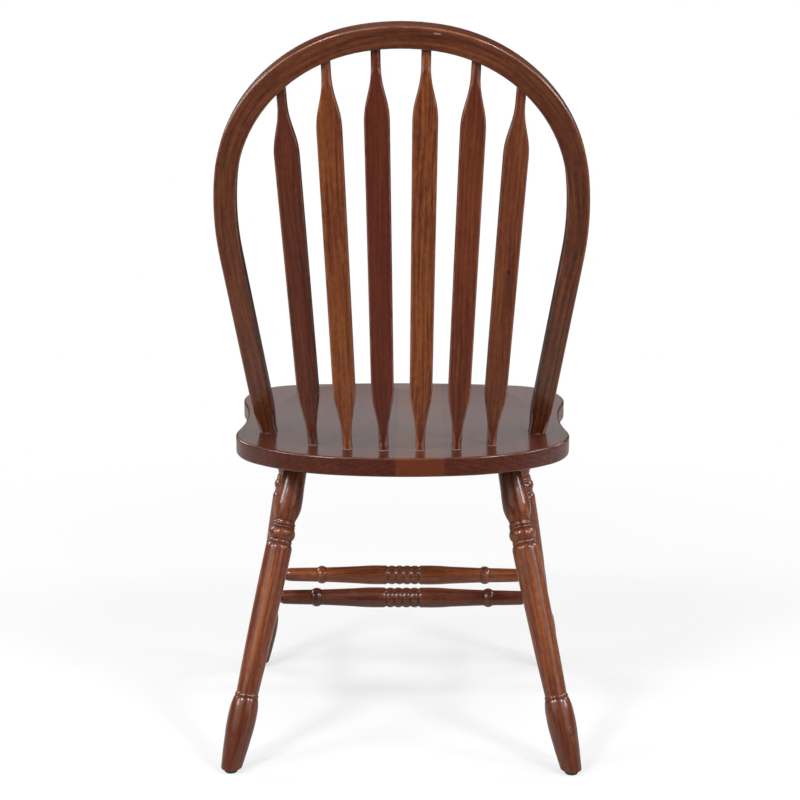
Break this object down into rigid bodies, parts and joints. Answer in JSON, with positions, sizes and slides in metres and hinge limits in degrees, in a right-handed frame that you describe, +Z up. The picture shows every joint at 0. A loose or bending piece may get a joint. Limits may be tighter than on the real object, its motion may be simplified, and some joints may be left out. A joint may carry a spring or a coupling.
{
  "type": "bow-back side chair",
  "caption": "Bow-back Windsor side chair with flat arrow-shaped spindles, saddled seat, splayed turned legs and H stretchers, in dark reddish-brown lacquered wood",
  "frame": {"origin": "on the floor under the middle of the chair's overall length and width", "axes": "+Z up, the chair faces -Y, its back leans to +Y, +X is the sitter's left"},
  "size_m": [0.5134, 0.5394, 1.0416],
  "materials": {
    "seat_wood": "satin-gloss lacquer over reddish-brown stain, boards glued edge to edge",
    "bow_wood": "satin-gloss lacquer, grain bent round with the bow",
    "spindle_wood": "satin-gloss lacquer over reddish-brown stain",
    "leg_wood": "satin-gloss lacquer over chestnut stain, darker in the grooves",
    "stretcher_wood": "satin-gloss lacquer over reddish-brown stain",
    "glide_plastic": "dark moulded plastic",
    "nail_steel": "bright steel shank"
  },
  "bodies": {
    "root": {"seat": "seat_wood", "bow": "bow_wood", "spindle_1": "spindle_wood", "spindle_2": "spindle_wood", "spindle_3": "spindle_wood", "spindle_4": "spindle_wood", "spindle_5": "spindle_wood", "spindle_6": "spindle_wood", "rear_leg_left": "leg_wood", "rear_leg_right": "leg_wood", "front_leg_left": "leg_wood", "front_leg_right": "leg_wood", "side_stretcher_left": "stretcher_wood", "side_stretcher_right": "stretcher_wood", "cross_stretcher_rear": "stretcher_wood", "cross_stretcher_front": "stretcher_wood", "glide_rear_left": "glide_plastic", "glide_rear_right": "glide_plastic", "glide_front_left": "glide_plastic", "glide_front_right": "glide_plastic", "glide_nails": "nail_steel"}
  },
  "joints": []
}
